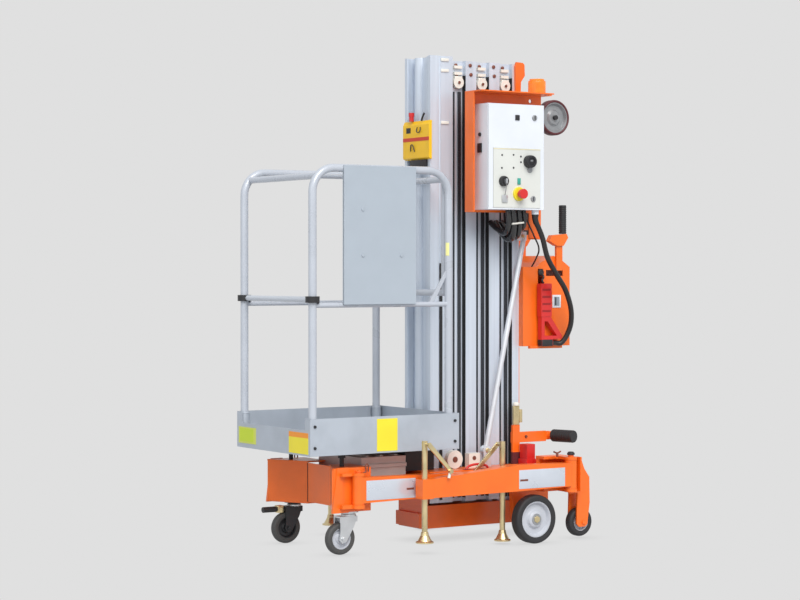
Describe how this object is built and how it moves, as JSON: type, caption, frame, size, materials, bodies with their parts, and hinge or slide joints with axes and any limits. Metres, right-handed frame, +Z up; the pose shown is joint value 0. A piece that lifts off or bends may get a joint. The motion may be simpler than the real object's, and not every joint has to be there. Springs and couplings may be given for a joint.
{
  "type": "vertical mast lift",
  "caption": "Push-around vertical mast lift: telescoping aluminium mast on a wheeled orange chassis with folding outriggers, caged platform and side control station.",
  "frame": {"origin": "on the ground under the middle of the bounding box", "axes": "+X from the platform end towards the push-handle end, +Y to the side away from the control station, +Z up"},
  "size_m": [1.393, 0.82, 2.005],
  "materials": {
    "amber_lens": "gloss",
    "black_rubber": "matt",
    "bright_zinc": "bright zinc",
    "dark_steel": "satin",
    "grey_paint": "satin",
    "mast_aluminium": "satin extruded",
    "nylon": "matt",
    "orange_paint": "semi-gloss",
    "panel_beige": "matt",
    "red_plastic": "gloss",
    "silver_paint": "satin",
    "tyre_black": "matt",
    "tyre_grey": "matt",
    "tyre_maroon": "matt",
    "white_paint": "satin",
    "yellow_plastic": "gloss",
    "zinc_plate": "yellow passivated"
  },
  "bodies": {
    "chassis": {"chassis_frame": "orange_paint", "front_wing_near": "orange_paint", "front_wing_far": "orange_paint", "rear_wing_near": "orange_paint", "rear_wing_far": "orange_paint", "mast_base": "orange_paint", "mast_foot": "orange_paint", "battery_box": "white_paint", "power_unit": "dark_steel", "rest_buffers": "black_rubber", "mast_1": "mast_aluminium", "pulleys_1": "nylon", "mast_fin": "orange_paint", "brace_near": "silver_paint", "brace_far": "silver_paint", "control_bracket": "orange_paint", "control_box": "white_paint", "control_panel": "panel_beige", "stop_button": "red_plastic", "beacon": "amber_lens", "rear_cover": "orange_paint", "upper_handle": "orange_paint", "upper_grips": "black_rubber", "low_handles": "orange_paint", "low_grips": "black_rubber", "loading_bracket": "dark_steel", "battery_socket": "red_plastic", "battery_plug": "red_plastic", "plug_cable": "black_rubber"},
    "platform": {"mast_4": "mast_aluminium", "platform_tray": "grey_paint", "hoop_near": "grey_paint", "hoop_far": "grey_paint", "cross_rails": "grey_paint", "side_panel": "grey_paint", "platform_control": "yellow_plastic", "platform_stop": "red_plastic"},
    "mast_2": {"mast_2": "mast_aluminium", "pulleys_2": "nylon"},
    "mast_3": {"mast_3": "mast_aluminium", "pulleys_3": "nylon"},
    "entry_bar": {"entry_bar": "grey_paint"},
    "caster_fork_near": {"caster_fork_near": "bright_zinc"},
    "caster_fork_far": {"caster_fork_far": "dark_steel"},
    "caster_wheel_near": {"caster_wheel_near": "tyre_grey"},
    "caster_wheel_far": {"caster_wheel_far": "tyre_grey"},
    "main_wheel_near": {"main_wheel_near": "tyre_black"},
    "main_wheel_far": {"main_wheel_far": "tyre_black"},
    "rear_wheel_near": {"rear_wheel_near": "tyre_black"},
    "rear_wheel_far": {"rear_wheel_far": "tyre_black"},
    "loading_wheel_near": {"loading_wheel_near": "tyre_maroon"},
    "loading_wheel_far": {"loading_wheel_far": "tyre_maroon"},
    "outer_arm_near": {"outer_arm_near": "orange_paint"},
    "outer_arm_far": {"outer_arm_far": "orange_paint"},
    "inner_arm_near": {"inner_arm_near": "orange_paint"},
    "inner_arm_far": {"inner_arm_far": "orange_paint"},
    "outer_jack_near": {"outer_jack_near": "zinc_plate"},
    "outer_jack_far": {"outer_jack_far": "zinc_plate"},
    "inner_jack_near": {"inner_jack_near": "zinc_plate"},
    "inner_jack_far": {"inner_jack_far": "zinc_plate"}
  },
  "joints": [
    {"name": "mast_2_slide", "type": "slide", "parent": "chassis", "child": "mast_2", "axis": [0, 0, 1], "range_m": [0, 1.4]},
    {"name": "mast_3_slide", "type": "slide", "parent": "mast_2", "child": "mast_3", "axis": [0, 0, 1], "range_m": [0, 1.4]},
    {"name": "platform_slide", "type": "slide", "parent": "mast_3", "child": "platform", "axis": [0, 0, 1], "range_m": [0, 1.4]},
    {"name": "entry_bar_slide", "type": "slide", "parent": "platform", "child": "entry_bar", "axis": [0, 0, 1], "range_m": [0, 0.3]},
    {"name": "caster_swivel_near", "type": "hinge", "parent": "chassis", "child": "caster_fork_near", "pos_m": [-0.4695, -0.214, 0.17], "axis": [0, 0, 1], "continuous": true},
    {"name": "caster_spin_near", "type": "hinge", "parent": "caster_fork_near", "child": "caster_wheel_near", "pos_m": [-0.5095, -0.214, 0.064], "axis": [0, 1, 0], "continuous": true},
    {"name": "main_spin_near", "type": "hinge", "parent": "chassis", "child": "main_wheel_near", "pos_m": [0.3415, -0.347, 0.1], "axis": [0, 1, 0], "continuous": true},
    {"name": "rear_spin_near", "type": "hinge", "parent": "chassis", "child": "rear_wheel_near", "pos_m": [0.6065, -0.305, 0.068], "axis": [0, 1, 0], "continuous": true},
    {"name": "loading_spin_near", "type": "hinge", "parent": "chassis", "child": "loading_wheel_near", "pos_m": [0.5885, -0.1475, 1.767], "axis": [0, 1, 0], "continuous": true},
    {"name": "outer_arm_swing_near", "type": "hinge", "parent": "chassis", "child": "outer_arm_near", "pos_m": [0.5235, -0.36, 0.276], "axis": [0, 0, 1], "range_deg": [0, 90]},
    {"name": "inner_arm_swing_near", "type": "hinge", "parent": "chassis", "child": "inner_arm_near", "pos_m": [-0.4695, -0.29, 0.258], "axis": [0, 0, -1], "range_deg": [0, 40.5]},
    {"name": "outer_jack_near_screw", "type": "slide", "parent": "outer_arm_near", "child": "outer_jack_near", "axis": [0, 0, -1], "range_m": [-0.09, 0.07]},
    {"name": "inner_jack_near_screw", "type": "slide", "parent": "inner_arm_near", "child": "inner_jack_near", "axis": [0, 0, -1], "range_m": [-0.12, 0.05]},
    {"name": "caster_swivel_far", "type": "hinge", "parent": "chassis", "child": "caster_fork_far", "pos_m": [-0.4695, 0.214, 0.17], "axis": [0, 0, 1], "continuous": true},
    {"name": "caster_spin_far", "type": "hinge", "parent": "caster_fork_far", "child": "caster_wheel_far", "pos_m": [-0.5095, 0.214, 0.064], "axis": [0, 1, 0], "continuous": true},
    {"name": "main_spin_far", "type": "hinge", "parent": "chassis", "child": "main_wheel_far", "pos_m": [0.3415, 0.347, 0.1], "axis": [0, 1, 0], "continuous": true},
    {"name": "rear_spin_far", "type": "hinge", "parent": "chassis", "child": "rear_wheel_far", "pos_m": [0.6065, 0.305, 0.068], "axis": [0, 1, 0], "continuous": true},
    {"name": "loading_spin_far", "type": "hinge", "parent": "chassis", "child": "loading_wheel_far", "pos_m": [0.5885, 0.1475, 1.767], "axis": [0, 1, 0], "continuous": true},
    {"name": "outer_arm_swing_far", "type": "hinge", "parent": "chassis", "child": "outer_arm_far", "pos_m": [0.5235, 0.36, 0.276], "axis": [0, 0, -1], "range_deg": [0, 90]},
    {"name": "inner_arm_swing_far", "type": "hinge", "parent": "chassis", "child": "inner_arm_far", "pos_m": [-0.4695, 0.29, 0.258], "axis": [0, 0, 1], "range_deg": [0, 40.5]},
    {"name": "outer_jack_far_screw", "type": "slide", "parent": "outer_arm_far", "child": "outer_jack_far", "axis": [0, 0, -1], "range_m": [-0.09, 0.07]},
    {"name": "inner_jack_far_screw", "type": "slide", "parent": "inner_arm_far", "child": "inner_jack_far", "axis": [0, 0, -1], "range_m": [-0.12, 0.05]}
  ],
  "couplings": [
    {"joint": "mast_3_slide", "follows": "mast_2_slide", "ratio": 1},
    {"joint": "platform_slide", "follows": "mast_2_slide", "ratio": 1},
    {"joint": "inner_arm_swing_near", "follows": "outer_arm_swing_near", "ratio": 0.45},
    {"joint": "inner_arm_swing_far", "follows": "outer_arm_swing_far", "ratio": 0.45}
  ]
}
